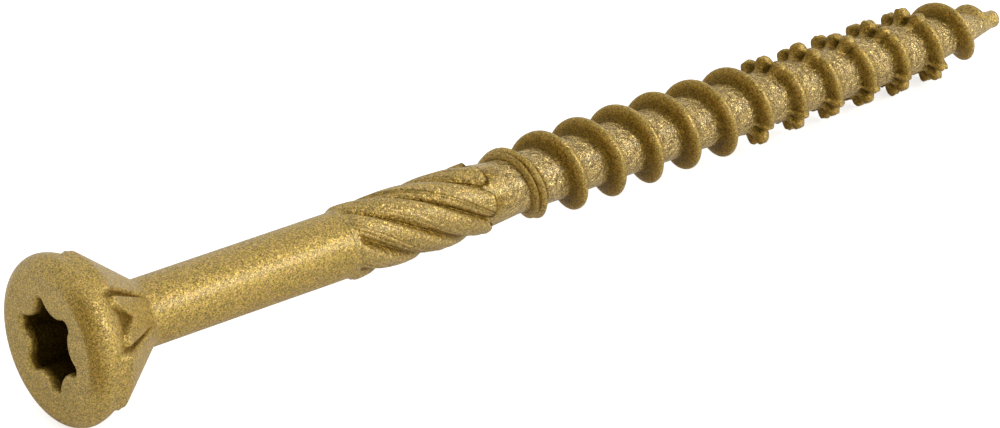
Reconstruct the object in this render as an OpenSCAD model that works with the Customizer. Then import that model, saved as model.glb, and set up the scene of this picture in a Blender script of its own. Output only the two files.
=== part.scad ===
// Deck screw with a six-lobe countersunk head, a reamer below the plain shank
// and a coarse, partly serrated wood thread that ends in a gimlet point.
// Millimetres. The screw lies on its side as it would on a bench: its head's rim
// and a crest near the point touch the ground, and the point is toward +X.
// The origin is the centre of the head's top face.

/* [Overall] */
// Length from the top of the head to the point
screw_len = 63.5; // [60:0.5:70]

/* [Head] */
// Diameter over the rim
head_d = 8.5; // [8.1:0.1:9.2]
// Rounding of the rim's top edge
rim_round = 0.9; // [0.6:0.05:1.1]
// Depth at which the rim ends and the floor of the pockets starts
rim_depth = 1.6; // [1.4:0.05:1.7]
// Draw-in of the rim's side from its widest place to a pocket's edge
rim_draw = 0.2; // [0.1:0.05:0.35]
// Height of the pockets' floor cone between the rim and the shank
cone_h = 2.9; // [2.6:0.1:3.2]

/* [Lands under the head] */
// Number of wide lands, which have the countersink's full cone
land_count = 4; // [3:1:5]
// Angle that a land takes; the pocket between two lands takes the rest
land_angle = 45; // [35:1:50]
// Turn of the first land's middle about the axis, from the top
land_turn = 12.5; // [-45:0.5:45]
// Depth of a land's corner below the top face
land_corner = 1.95; // [1.8:0.05:2.2]
// How far a land's corner stays inside the head's radius
land_inset = 0.05; // [0.05:0.01:0.15]
// Depth below the top face at which a land runs out on the shank
land_end = 5.1; // [4.8:0.1:5.5]

/* [Forked ribs in the pockets] */
// Width of a rib's foot at the shank
rib_foot_w = 1.0; // [0.8:0.05:1.2]
// Width over a rib's two arms at the rim
rib_spread = 2.6; // [2.3:0.05:2.7]
// Width of one arm at the rim
rib_arm_w = 0.28; // [0.2:0.02:0.4]
// Distance from the axis to the notch between the two arms
rib_notch = 3.25; // [3.0:0.05:3.5]
// Height of a rib above the pocket's floor, square to the axis
rib_h = 0.32; // [0.2:0.02:0.45]

/* [Drive recess] */
// Diameter over the six lobes
lobe_d = 4.5; // [4.3:0.05:4.7]
// Diameter between the flanks that face inward
waist_d = 3.27; // [3.1:0.05:3.4]
// Radius of a lobe's tip
lobe_r = 0.39; // [0.34:0.01:0.42]
// Depth of the straight walls
recess_depth = 2.3; // [1.8:0.1:2.6]
// Extra depth of the conical floor at the axis
recess_cone = 0.4; // [0.2:0.1:0.6]
// Rounding of the recess's upper edge, softened by the coating
recess_round = 0.26; // [0.15:0.01:0.32]
// Turn of the first lobe about the axis
recess_turn = -18; // [-30:1:30]

/* [Shank] */
// Diameter of the plain shank
shank_d = 3.4; // [3.2:0.05:3.6]
// Depth below the top face at which the shank ends and the reamer starts
shank_end = 17.0; // [15:0.5:19]

/* [Reamer] */
// Length of the reamer, from the shank to its blunt end
reamer_len = 8.75; // [7:0.05:10]
// Diameter over the reamer's ribs
reamer_d = 3.92; // [3.75:0.02:4.1]
// Diameter at the bottom of the reamer's grooves
reamer_root_d = 3.12; // [2.9:0.02:3.25]
// Length in which one rib would make a full turn
reamer_lead = 17.5; // [14:0.5:24]

/* [Thread] */
// Diameter over the thread
thread_d = 4.6; // [4.3:0.05:4.9]
// Diameter of the core between the turns
core_d = 3.0; // [2.8:0.05:3.2]
// Pitch of the thread
pitch = 2.6; // [2.3:0.05:2.8]
// Length of the plain neck between the reamer and the thread's foot
neck_len = 0.7; // [0.4:0.05:0.9]
// Amount by which the thread grows slimmer from its start to its point
thread_taper = 0.12; // [0:0.02:0.2]
// Angle at which the thread starts, about the axis from the top
thread_turn = -150; // [-180:10:180]
// Height of the first turn, as a share of the thread's height
first_turn_share = 0.72; // [0.6:0.02:0.9]
// Depth of the groove rolled into the first turn's crest, as a share
first_turn_groove = 0.25; // [0.1:0.05:0.4]

/* [Serration] */
// Number of the turn on which the teeth start
serrated_from = 6.7; // [5:0.1:8]
// Number of turns that carry teeth
serrated_turns = 5.3; // [2:0.1:5.5]
// Depth of a notch between two teeth, as a share of the thread's height
notch_share = 0.38; // [0.2:0.02:0.5]
// Drop of the crest on the plain arc of a serrated turn, as a share
plain_drop = 0.14; // [0:0.02:0.3]
// Angle at which the plain arc of a serrated turn starts
plain_from = -5; // [-25:5:15]
// Angle over which the crest has no teeth
plain_arc = 100; // [60:10:140]

/* [Point] */
// Length over which the core runs down to the point
point_len = 7.5; // [6:0.1:9]
// Radius of the core just above the point's blunt end
point_r = 0.46; // [0.35:0.01:0.55]
// Length of the blunt end beyond the thread
blunt_len = 0.7; // [0.5:0.05:0.9]

/* [Hidden] */
bronze = [0.66, 0.56, 0.32];

// Radii
head_r = head_d / 2;
shank_r = shank_d / 2;
thread_r = thread_d / 2;
core_r = core_d / 2;
reamer_r = reamer_d / 2;
reamer_root_r = reamer_root_d / 2;

// The skin below the shank has one column of points every ten degrees
column_count = 36;
column_step = 360 / column_count;

// Reamer: six ribs, each with this rounded, one-sided section
rib_section = [0.95, 0.8, 0.45, 0, 0.8, 1];
reamer_end = shank_end + reamer_len;
reamer_rise = 1.1;
reamer_blunt = 0.25;
reamer_rings = 9;
seat_gap = 0.01;
seat_depth = 0.3;

// Thread: the place of its crest and the columns that it takes
thread_start = reamer_end + neck_len + 0.45;
blunt_start = screw_len - blunt_len;
crest_margin = 0.65;
column_rise = pitch / column_count;
column_total = floor((blunt_start - crest_margin - thread_start) / column_rise);
last_turn = column_total - column_count;
run_in = 9;
run_out = 8;
groove_end = 30;
groove_fade = 10;

// Section of one turn: places along the axis in pitches, and heights as shares
section_place = [-0.5, -0.25, -0.155, -0.07, 0, 0.06, 0.15, 0.27];
section_height = [0, 0, 0.12, 0.93, 1, 0.95, 0.28, 0];
crest_row = 4;
row_count = len(section_place);
land_widening = 1.7;
tooth_widening = 1.6;
first_squeeze = 0.3;
last_squeeze = 0.38;

// Teeth: two columns stand and one is notched
tooth_columns = 3;
serrated_start = serrated_from * column_count;
serrated_end = serrated_start + serrated_turns * column_count;

// Where the parts of the point begin
point_start = screw_len - point_len;
point_power = 1.4;
crest_fall_start = screw_len - point_len * 0.84;
crest_fall_len = point_len * 0.57;
crest_at_point = 0.5;

// Lying on the ground: the rim and a crest near the point both touch it
touch_depth = rim_round;
touch_crest = crest_fall_start - pitch / 2;
tilt = atan((head_r - crest_radius(touch_crest)) / (touch_crest - touch_depth));

// A value held between two ends, and a smooth step from 0 to 1
function held(x, low, high) = min(max(x, low), high);
function smooth(x) = let (s = held(x, 0, 1)) s * s * (3 - 2 * s);

// Radius of the core and of the crest at a depth below the top face
function core_radius(depth) =
    let (x = held((depth - point_start) / (blunt_start - point_start), 0, 1))
    core_r - (core_r - point_r) * pow(x, point_power);
function crest_radius(depth) =
    let (along = held((depth - thread_start) / (crest_fall_start - thread_start), 0, 1),
         fall = max(depth - crest_fall_start, 0) / crest_fall_len)
    thread_r - thread_taper / 2 * along - thread_r * crest_at_point * pow(fall, 1.5);

// Columns of the thread: angle about the axis and depth of the crest
function column_angle(m) = thread_turn + m * column_step;
function crest_depth(m) = thread_start + m * column_rise;

// Share of full height along the thread: run-in, low first turn and run-out
function first_turn(m) = 1 - smooth((m - groove_end) / groove_fade);
function height_share(m) =
    smooth(m / run_in) * smooth((column_total - m) / run_out)
    * (1 - (1 - first_turn_share) * first_turn(m));

// Teeth: where the crest is serrated, and how high it stands there
function turn_place(m) = (((column_angle(m) - plain_from) % 360) + 360) % 360;
function is_serrated(m) = m >= serrated_start && m <= serrated_end;
function is_plain(m) = turn_place(m) <= plain_arc;
function is_notch(m) = m % tooth_columns == 0;
function tooth_share(m) =
    !is_serrated(m) ? 1 : is_plain(m) ? 1 - plain_drop : is_notch(m) ? 1 - notch_share : 1;

// How wide the crest is, and how high each row of the section stands
function widening(m) =
    is_serrated(m) && !is_plain(m) && !is_notch(m) ? tooth_widening
    : 1 + (land_widening - 1) * first_turn(m);
function squeeze(m, place) =
    place < 0 ? first_squeeze + (1 - first_squeeze) * held(m / column_count, 0, 1)
    : 1 - (1 - last_squeeze) * held((m - last_turn) / column_count, 0, 1);
function row_place(m, j) =
    let (near_crest = abs(section_place[j]) < 0.1)
    section_place[j] * squeeze(m, section_place[j]) * (near_crest ? widening(m) : 1);
function row_share(m, j) =
    section_height[j] - (j == crest_row ? first_turn_groove * first_turn(m) : 0);

// A point at a depth, an angle and a radius
function skin_point(depth, angle, radius) =
    [radius * cos(angle), radius * sin(angle), depth];
function thread_point(m, j) =
    let (depth = crest_depth(m) + row_place(m, j) * pitch,
         low = core_radius(depth),
         high = max(crest_radius(crest_depth(m)), low),
         rise = (high - low) * row_share(m, j) * height_share(m) * tooth_share(m))
    skin_point(depth, column_angle(m), low + rise);
function thread_top_point(m) =
    let (depth = crest_depth(m) + squeeze(m, 1) * pitch / 2)
    skin_point(depth, column_angle(m), core_radius(depth));

// Six-lobe outline: convex lobe tips and concave flanks that meet as tangents
lobe_centre = lobe_d / 2 - lobe_r;
flank_r = let (a = lobe_centre * cos(30), w = waist_d / 2)
    (pow(lobe_centre, 2) - lobe_r * lobe_r + w * w - 2 * a * w) / (2 * (lobe_r - w + a));
flank_centre = waist_d / 2 + flank_r;
lobe_share = lobe_r / (lobe_r + flank_r);
meet_angle = atan2(lobe_share * flank_centre * sin(30),
    lobe_centre + lobe_share * (flank_centre * cos(30) - lobe_centre));
function star_radius(angle) =
    let (a = abs(((angle + 30) % 60 + 60) % 60 - 30), b = 30 - a)
    a < meet_angle
        ? lobe_centre * cos(a) + sqrt(max(pow(lobe_r, 2) - pow(lobe_centre * sin(a), 2), 0))
        : flank_centre * cos(b) - sqrt(max(pow(flank_r, 2) - pow(flank_centre * sin(b), 2), 0));

// Closed skin over stacked rings, each a list of as many points
function ring_faces(rings, n) =
    [for (i = [0 : rings - 2]) for (k = [0 : n - 1])
        let (k2 = (k + 1) % n)
        [i * n + k, (i + 1) * n + k, (i + 1) * n + k2, i * n + k2]];

// Head: rounded rim, pocket floor, lands, ribs and recess
rim_foot_r = head_r - rim_draw;
floor_slope = (rim_foot_r - shank_r) / cone_h;
floor_end = rim_depth + cone_h;
pocket_turn = land_turn + 180 / land_count;
function floor_radius(depth) = rim_foot_r - floor_slope * (depth - rim_depth);

module head_outline() {
    polygon([
        [0, 0],
        [head_r - rim_round, 0],
        [head_r - rim_round, rim_round],
        [head_r, rim_round],
        [rim_foot_r, rim_depth],
        [shank_r, floor_end],
        [shank_r, shank_end],
        [0, shank_end]]);
    translate([head_r - rim_round, rim_round]) circle(r = rim_round, $fn = 64);
}

module head_blank() {
    rotate_extrude($fn = 96) intersection() {
        head_outline();
        square([head_r, shank_end]);
    }
}

// Wide lands: the full cone between planes through the axis
module lands() {
    inner_r = shank_r / 2;
    outer_r = head_r * 1.2;
    land_start = rim_round + 0.05;
    corner_r = head_r - land_inset;
    corner_break = 0.12;
    half = land_angle / 2;
    wedge = [[inner_r, -half], [outer_r, -half], [outer_r * 1.1, 0], [outer_r, half],
        [inner_r, half]];
    intersection() {
        rotate_extrude($fn = 96) polygon([
            [0, land_start],
            [corner_r - 0.02, land_start],
            [corner_r, land_start + 0.25],
            [corner_r, land_corner - corner_break],
            [corner_r - corner_break, land_corner + corner_break / 3],
            [shank_r - seat_gap, land_end],
            [0, land_end]]);
        linear_extrude(height = land_end + 1) polygon([
            for (i = [0 : land_count - 1]) for (corner = wedge)
                let (a = land_turn + i * 360 / land_count + corner[1])
                [corner[0] * cos(a), corner[0] * sin(a)]]);
    }
}

// Forked ribs: one in each pocket, a little higher than its floor
module ribs() {
    rib_start = rim_depth - 0.3;
    shoulder = rim_depth + 0.5;
    rib_end = floor_end + rib_h / floor_slope;
    foot_x = shank_r * 0.6;
    arm_x = rim_foot_r - 0.1;
    arm_y = rib_spread / 2;
    intersection() {
        rotate_extrude($fn = 96) polygon([
            [0, rib_start],
            [rim_foot_r - 0.15, rib_start],
            [rim_foot_r - 0.05, rim_depth + 0.15],
            [floor_radius(shoulder) + rib_h, shoulder],
            [shank_r - seat_gap, rib_end],
            [0, rib_end]]);
        linear_extrude(height = rib_end + 1)
            for (i = [0 : land_count - 1])
                rotate(pocket_turn + i * 360 / land_count) polygon([
                    [foot_x, -rib_foot_w / 2],
                    [arm_x, -arm_y],
                    [arm_x, rib_arm_w - arm_y],
                    [rib_notch, 0],
                    [arm_x, arm_y - rib_arm_w],
                    [arm_x, arm_y],
                    [foot_x, rib_foot_w / 2]]);
    }
}

module recess() {
    star_count = 72;
    edge_steps = 4;
    above = 0.1;
    edge = [for (i = [0 : edge_steps]) let (a = 90 * i / edge_steps)
        [recess_round * (1 - cos(a)), recess_round * (1 - sin(a))]];
    levels = concat([[-above, recess_round]],
        [for (e = edge) [recess_round - e[1], recess_round - e[0]]],
        [[recess_depth, 0]]);
    rings = [for (level = levels) for (k = [0 : star_count - 1])
        let (a = k * 360 / star_count)
        skin_point(level[0], a, star_radius(a) + level[1])];
    ring_total = len(levels);
    points = concat(rings, [[0, 0, -above], [0, 0, recess_depth + recess_cone]]);
    top_point = len(rings);
    low_point = top_point + 1;
    last_ring = (ring_total - 1) * star_count;
    polyhedron(points, concat(
        ring_faces(ring_total, star_count),
        [for (k = [0 : star_count - 1]) [top_point, k, (k + 1) % star_count]],
        [for (k = [0 : star_count - 1])
            [last_ring + k, low_point, last_ring + (k + 1) % star_count]]));
}

// Reamer, neck, thread and point in one closed skin
module rolled_part() {
    twist_rate = 360 / reamer_lead;
    body_start = shank_end + seat_gap;
    seat_r = shank_r - seat_gap;
    rib_depths = [for (i = [0 : reamer_rings])
        body_start + i * (reamer_end - reamer_blunt - body_start) / reamer_rings];
    rib_rings = [for (depth = rib_depths) for (k = [0 : column_count - 1])
        let (rise = smooth((depth - body_start) / reamer_rise),
             section = rib_section[k % len(rib_section)],
             full = reamer_root_r + (reamer_r - reamer_root_r) * section,
             twist = (depth - reamer_end) * twist_rate)
        skin_point(depth, column_angle(k) + twist, seat_r + (full - seat_r) * rise)];
    seat_ring = [for (k = [0 : column_count - 1])
        skin_point(shank_end - seat_depth,
            column_angle(k) + (shank_end - reamer_end) * twist_rate, seat_r)];
    end_ring = [for (k = [0 : column_count - 1])
        skin_point(reamer_end, column_angle(k), seat_r)];
    neck_ring = [for (k = [0 : column_count - 1])
        skin_point(reamer_end + neck_len / 2, column_angle(k), seat_r)];
    first_rings = concat(seat_ring, rib_rings, end_ring, neck_ring);
    first_count = len(first_rings) / column_count;
    foot = len(first_rings) - column_count;

    // The turns: one column of rows after another along the helix
    turns = [for (m = [0 : column_total]) for (j = [0 : row_count - 1]) thread_point(m, j)];
    turns_at = len(first_rings);
    tops = [for (m = [last_turn + 1 : column_total]) thread_top_point(m)];
    tops_at = turns_at + len(turns);
    row = function (m, j)
        j < row_count ? turns_at + m * row_count + j
        : m <= last_turn ? turns_at + (m + column_count) * row_count
        : tops_at + m - last_turn - 1;
    turn_faces = [for (m = [0 : column_total - 1]) for (j = [0 : row_count - 1])
        [row(m, j), row(m, j + 1), row(m + 1, j + 1), row(m + 1, j)]];
    foot_faces = [for (k = [0 : column_count - 2])
        [foot + k, row(k, 0), row(k + 1, 0), foot + k + 1]];
    foot_fan = concat([[row(column_count - 1, 0), foot, foot + column_count - 1],
            [row(column_count - 1, 0), row(0, 0), foot]],
        [for (j = [0 : row_count - 1])
            [row(column_count - 1, 0), row(0, j + 1), row(0, j)]]);

    // The blunt end: rings that round off to the point
    end_depths = [0, 0.35, 0.7, 0.9];
    end_radii = [1, 0.98, 0.8, 0.5];
    end_angle = column_angle(last_turn);
    end_rings = [for (i = [0 : len(end_depths) - 1]) for (k = [0 : column_count - 1])
        skin_point(blunt_start + blunt_len * end_depths[i],
            end_angle + k * column_step, point_r * end_radii[i])];
    ends_at = tops_at + len(tops);
    tip_at = ends_at + len(end_rings);
    top_faces = [for (k = [1 : column_count - 1])
        [row(last_turn + k, row_count), ends_at + k,
         ends_at + (k + 1) % column_count, row(last_turn + k + 1, row_count)]];
    top_apex = row(last_turn + 1, row_count);
    top_fan = concat([for (j = [0 : row_count - 1])
            [top_apex, row(column_total, j), row(column_total, j + 1)]],
        [[top_apex, row(column_total, row_count), ends_at],
         [top_apex, ends_at, ends_at + 1]]);
    end_faces = [for (face = ring_faces(len(end_depths), column_count))
        [for (v = face) v + ends_at]];
    last_ring = tip_at - column_count;
    tip_faces = [for (k = [0 : column_count - 1])
        [last_ring + k, tip_at, last_ring + (k + 1) % column_count]];
    seat_face = [[for (k = [0 : column_count - 1]) k]];

    polyhedron(
        concat(first_rings, turns, tops, end_rings, [[0, 0, screw_len]]),
        concat(seat_face, ring_faces(first_count, column_count), turn_faces,
            foot_faces, foot_fan, top_faces, top_fan, end_faces, tip_faces));
}

module deck_screw() {
    color(bronze) rotate([0, 90 + tilt, 0]) rotate([0, 0, 180]) difference() {
        union() {
            head_blank();
            lands();
            ribs();
            rolled_part();
        }
        rotate([0, 0, recess_turn]) recess();
    }
}

deck_screw();
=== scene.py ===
"""Deck screw dressed for the camera: one continuous coated skin, a pale floor and soft light."""

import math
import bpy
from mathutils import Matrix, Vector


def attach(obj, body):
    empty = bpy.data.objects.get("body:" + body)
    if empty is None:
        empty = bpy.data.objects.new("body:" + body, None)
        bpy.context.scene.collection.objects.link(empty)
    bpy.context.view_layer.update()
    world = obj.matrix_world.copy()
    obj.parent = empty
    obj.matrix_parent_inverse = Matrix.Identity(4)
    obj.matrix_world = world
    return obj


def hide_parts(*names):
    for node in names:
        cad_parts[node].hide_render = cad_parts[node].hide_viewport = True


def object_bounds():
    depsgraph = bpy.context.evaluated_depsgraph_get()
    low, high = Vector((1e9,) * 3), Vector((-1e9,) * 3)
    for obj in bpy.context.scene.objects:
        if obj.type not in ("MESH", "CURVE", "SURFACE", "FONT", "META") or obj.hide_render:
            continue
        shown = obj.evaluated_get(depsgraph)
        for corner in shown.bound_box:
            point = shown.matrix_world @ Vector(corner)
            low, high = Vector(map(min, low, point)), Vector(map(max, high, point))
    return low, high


bl_info = {
    "name": "Deck screw",
    "version": (1, 0, 0),
    "blender": (4, 5, 0),
    "location": "View3D > Sidebar > Deck screw",
    "description": "Builds a coated deck screw with a reamer and a partly serrated thread",
    "category": "Add Mesh",
}

import bpy
import numpy as np
from mathutils import Euler, Matrix, Vector

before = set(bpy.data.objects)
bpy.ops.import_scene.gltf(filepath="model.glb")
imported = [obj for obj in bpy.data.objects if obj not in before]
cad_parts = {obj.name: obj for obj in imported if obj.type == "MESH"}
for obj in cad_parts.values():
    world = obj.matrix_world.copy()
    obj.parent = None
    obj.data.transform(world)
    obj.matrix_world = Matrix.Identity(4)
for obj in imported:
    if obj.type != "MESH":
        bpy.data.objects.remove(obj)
cad_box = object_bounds()

NODE = "deck_screw"
BODY = "root"
MM = 0.001


# Sizes and colours that a user would change

class ScrewSizes(bpy.types.PropertyGroup):
    """Sizes of the head, the shank, the reamer, the thread and the point"""

    screw_length: bpy.props.FloatProperty(
        name="Length", description="From the top of the head to the point",
        default=63.5 * MM, unit="LENGTH", precision=4)
    head_diameter: bpy.props.FloatProperty(
        name="Head diameter", description="Diameter over the rim",
        default=8.5 * MM, unit="LENGTH", precision=4)
    rim_round: bpy.props.FloatProperty(
        name="Rim rounding", description="Rounding of the rim's top edge",
        default=0.9 * MM, unit="LENGTH", precision=5)
    rim_depth: bpy.props.FloatProperty(
        name="Rim depth", description="Depth at which the pockets' floor starts",
        default=1.6 * MM, unit="LENGTH", precision=5)
    rim_draw: bpy.props.FloatProperty(
        name="Rim draw-in", description="Draw-in of the rim's side toward a pocket's edge",
        default=0.2 * MM, unit="LENGTH", precision=5)
    cone_height: bpy.props.FloatProperty(
        name="Cone height", description="Height of the pockets' floor cone",
        default=2.9 * MM, unit="LENGTH", precision=4)
    land_count: bpy.props.IntProperty(
        name="Lands", description="Number of wide lands under the head", default=4)
    land_angle: bpy.props.FloatProperty(
        name="Land angle", description="Angle that a land takes",
        default=math.radians(45.0), subtype="ANGLE")
    land_turn: bpy.props.FloatProperty(
        name="Land turn", description="Turn of the first land's middle, from the top",
        default=math.radians(12.5), subtype="ANGLE")
    land_corner: bpy.props.FloatProperty(
        name="Land corner", description="Depth of a land's corner below the top face",
        default=1.95 * MM, unit="LENGTH", precision=5)
    land_inset: bpy.props.FloatProperty(
        name="Land inset", description="How far a land's corner stays inside the head",
        default=0.05 * MM, unit="LENGTH", precision=5)
    land_end: bpy.props.FloatProperty(
        name="Land end", description="Depth at which a land runs out on the shank",
        default=5.1 * MM, unit="LENGTH", precision=4)
    rib_foot_width: bpy.props.FloatProperty(
        name="Rib foot", description="Width of a forked rib's foot at the shank",
        default=1.0 * MM, unit="LENGTH", precision=5)
    rib_spread: bpy.props.FloatProperty(
        name="Rib spread", description="Width over a rib's two arms at the rim",
        default=2.6 * MM, unit="LENGTH", precision=5)
    rib_arm_width: bpy.props.FloatProperty(
        name="Rib arm", description="Width of one arm at the rim",
        default=0.38 * MM, unit="LENGTH", precision=5)
    rib_notch: bpy.props.FloatProperty(
        name="Rib notch", description="Distance from the axis to the notch between the arms",
        default=2.95 * MM, unit="LENGTH", precision=5)
    rib_height: bpy.props.FloatProperty(
        name="Rib height", description="Height of a rib above the pocket's floor",
        default=0.36 * MM, unit="LENGTH", precision=5)
    lobe_diameter: bpy.props.FloatProperty(
        name="Over the lobes", description="Diameter over the six lobes",
        default=4.5 * MM, unit="LENGTH", precision=4)
    waist_diameter: bpy.props.FloatProperty(
        name="Between the flanks", description="Diameter between the recess's flanks",
        default=3.27 * MM, unit="LENGTH", precision=4)
    lobe_round: bpy.props.FloatProperty(
        name="Lobe rounding", description="Radius of a lobe's tip",
        default=0.39 * MM, unit="LENGTH", precision=5)
    recess_depth: bpy.props.FloatProperty(
        name="Recess depth", description="Depth of the recess's straight walls",
        default=2.3 * MM, unit="LENGTH", precision=4)
    recess_cone: bpy.props.FloatProperty(
        name="Recess floor", description="Extra depth of the conical floor at the axis",
        default=0.4 * MM, unit="LENGTH", precision=5)
    recess_round: bpy.props.FloatProperty(
        name="Recess edge", description="Rounding of the recess's upper edge",
        default=0.26 * MM, unit="LENGTH", precision=5)
    recess_turn: bpy.props.FloatProperty(
        name="Recess turn", description="Turn of the first lobe about the axis",
        default=math.radians(-18.0), subtype="ANGLE")
    shank_diameter: bpy.props.FloatProperty(
        name="Shank diameter", description="Diameter of the plain shank",
        default=3.4 * MM, unit="LENGTH", precision=4)
    shank_end: bpy.props.FloatProperty(
        name="Shank end", description="Depth at which the reamer starts",
        default=17.0 * MM, unit="LENGTH", precision=4)
    reamer_length: bpy.props.FloatProperty(
        name="Reamer length", description="From the shank to the ribs' blunt ends",
        default=8.75 * MM, unit="LENGTH", precision=4)
    reamer_diameter: bpy.props.FloatProperty(
        name="Reamer diameter", description="Diameter over the reamer's ribs",
        default=3.78 * MM, unit="LENGTH", precision=4)
    reamer_root_diameter: bpy.props.FloatProperty(
        name="Reamer root", description="Diameter at the bottom of the reamer's grooves",
        default=2.98 * MM, unit="LENGTH", precision=4)
    reamer_lead: bpy.props.FloatProperty(
        name="Reamer lead", description="Length in which one rib would make a full turn",
        default=17.5 * MM, unit="LENGTH", precision=4)
    thread_diameter: bpy.props.FloatProperty(
        name="Thread diameter", description="Diameter over the thread",
        default=4.6 * MM, unit="LENGTH", precision=4)
    core_diameter: bpy.props.FloatProperty(
        name="Core diameter", description="Diameter of the core between the turns",
        default=3.0 * MM, unit="LENGTH", precision=4)
    pitch: bpy.props.FloatProperty(
        name="Pitch", description="Pitch of the thread",
        default=2.6 * MM, unit="LENGTH", precision=4)
    neck_length: bpy.props.FloatProperty(
        name="Neck", description="Plain length between the reamer and the thread's foot",
        default=0.7 * MM, unit="LENGTH", precision=5)
    thread_taper: bpy.props.FloatProperty(
        name="Thread taper", description="How much slimmer the thread is at its far end",
        default=0.12 * MM, unit="LENGTH", precision=5)
    thread_turn: bpy.props.FloatProperty(
        name="Thread start", description="Angle at which the thread starts, from the top",
        default=math.radians(-150.0), subtype="ANGLE")
    first_turn_share: bpy.props.FloatProperty(
        name="First turn", description="Height of the first turn as a share", default=0.72)
    serrated_from: bpy.props.FloatProperty(
        name="Teeth from turn", description="Turn on which the teeth start", default=6.7)
    serrated_turns: bpy.props.FloatProperty(
        name="Turns with teeth", description="Number of turns that carry teeth", default=5.3)
    teeth_per_turn: bpy.props.IntProperty(
        name="Teeth in a turn", description="Teeth that a full turn would carry", default=12)
    notch_share: bpy.props.FloatProperty(
        name="Notch", description="Depth of a notch as a share of the thread's height",
        default=0.62)
    plain_drop: bpy.props.FloatProperty(
        name="Plain drop", description="Drop of the crest on the plain arc, as a share",
        default=0.2)
    plain_from: bpy.props.FloatProperty(
        name="Plain arc from", description="Angle at which the toothless arc starts",
        default=math.radians(26.0), subtype="ANGLE")
    plain_arc: bpy.props.FloatProperty(
        name="Plain arc", description="Angle over which the crest has no teeth",
        default=math.radians(78.0), subtype="ANGLE")
    point_length: bpy.props.FloatProperty(
        name="Point", description="Length over which the core runs down to the point",
        default=7.5 * MM, unit="LENGTH", precision=4)
    point_radius: bpy.props.FloatProperty(
        name="Point radius", description="Radius of the core above its blunt end",
        default=0.5 * MM, unit="LENGTH", precision=5)
    blunt_length: bpy.props.FloatProperty(
        name="Blunt end", description="Length of the blunt end beyond the thread",
        default=0.7 * MM, unit="LENGTH", precision=5)


class CoatingLook(bpy.types.PropertyGroup):
    """Colours and grain of the bronze coating"""

    bronze: bpy.props.FloatVectorProperty(
        name="Bronze", description="Main colour of the coating",
        default=(0.53, 0.372, 0.07), subtype="COLOR")
    rose: bpy.props.FloatVectorProperty(
        name="Rose", description="Colour of the warmer flakes",
        default=(0.66, 0.40, 0.15), subtype="COLOR")
    # Partly the lighter tone of the hammered metal, partly a painted highlight on it
    bright: bpy.props.FloatVectorProperty(
        name="Bright", description="Colour of the hammered metal between the turns",
        default=(0.86, 0.64, 0.30), subtype="COLOR")
    olive: bpy.props.FloatVectorProperty(
        name="Olive", description="Colour where the coating is thick in hollows",
        default=(0.30, 0.22, 0.035), subtype="COLOR")
    # Painted shade and painted reflection: the brown the flanks take from shade and from the gold
    # of the turns beside them
    flank: bpy.props.FloatVectorProperty(
        name="Flank", description="Colour of the thick coating on flanks",
        default=(0.29, 0.165, 0.018), subtype="COLOR")
    shade: bpy.props.FloatVectorProperty(
        name="Shade", description="Colour at the foot of the flanks and in the recess",
        default=(0.06, 0.035, 0.003), subtype="COLOR")
    metal_share: bpy.props.FloatProperty(
        name="Metal", description="Share of metal flake in the coating", default=0.6)
    roughness: bpy.props.FloatProperty(
        name="Roughness", description="Roughness of the flakes", default=0.45)
    coat: bpy.props.FloatProperty(
        name="Clear coat", description="Weight of the clear coat", default=0.4)
    coat_roughness: bpy.props.FloatProperty(
        name="Coat roughness", description="Roughness of the clear coat", default=0.28)
    flake_size: bpy.props.FloatProperty(
        name="Flake size", description="Width of one flake",
        default=0.065 * MM, unit="LENGTH", precision=5)
    flake_turn: bpy.props.FloatProperty(
        name="Flake turn", description="How far a flake's normal may turn", default=0.42)
    grain_size: bpy.props.FloatProperty(
        name="Grain size", description="Width of one fine grain",
        default=0.05 * MM, unit="LENGTH", precision=5)
    grain_contrast: bpy.props.FloatProperty(
        name="Grain contrast", description="How far a grain's brightness departs from one",
        default=0.56)
    peel_size: bpy.props.FloatProperty(
        name="Unevenness", description="Size of the coating's unevenness",
        default=0.4 * MM, unit="LENGTH", precision=5)
    peel_height: bpy.props.FloatProperty(
        name="Unevenness height", description="Height of the coating's unevenness",
        default=0.02 * MM, unit="LENGTH", precision=6)
    hammer_size: bpy.props.FloatProperty(
        name="Hammering", description="Size of the dents between the turns",
        default=0.4 * MM, unit="LENGTH", precision=5)
    hammer_height: bpy.props.FloatProperty(
        name="Hammering height", description="Depth of the dents between the turns",
        default=0.38 * MM, unit="LENGTH", precision=6)


class StageLook(bpy.types.PropertyGroup):
    """Camera, lamps and floor"""

    view_azimuth: bpy.props.FloatProperty(
        name="View azimuth", description="Direction in which the camera looks, from +X",
        default=math.radians(50.257), subtype="ANGLE")
    view_fall: bpy.props.FloatProperty(
        name="View fall", description="Angle by which the camera looks down",
        default=math.radians(28.013), subtype="ANGLE")
    view_roll: bpy.props.FloatProperty(
        name="View roll", description="Turn of the camera about its line of sight",
        default=math.radians(-0.124), subtype="ANGLE")
    view_distance: bpy.props.FloatProperty(
        name="View distance", description="From the camera to the place it aims at",
        default=199.2 * MM, unit="LENGTH", precision=4)
    view_aim: bpy.props.FloatVectorProperty(
        name="Aim", description="Place that the middle of the picture shows",
        default=(28.42 * MM, 1.258 * MM, -3.291 * MM), subtype="XYZ", unit="LENGTH", precision=5)
    focal_length: bpy.props.FloatProperty(
        name="Focal length", description="Focal length in mm on a 36 mm wide picture",
        default=140.13)
    floor_colour: bpy.props.FloatVectorProperty(
        name="Floor", description="Colour of the floor",
        default=(0.86, 0.86, 0.86), subtype="COLOR")
    floor_size: bpy.props.FloatProperty(
        name="Floor size", description="Width of the floor", default=3.0, unit="LENGTH")


# Small helpers for whole arrays

def smooth(x):
    """Smooth step: 0 below 0, 1 above 1, and 3x^2 - 2x^3 between."""
    held = np.clip(x, 0.0, 1.0)
    return held * held * (3.0 - 2.0 * held)


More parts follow.
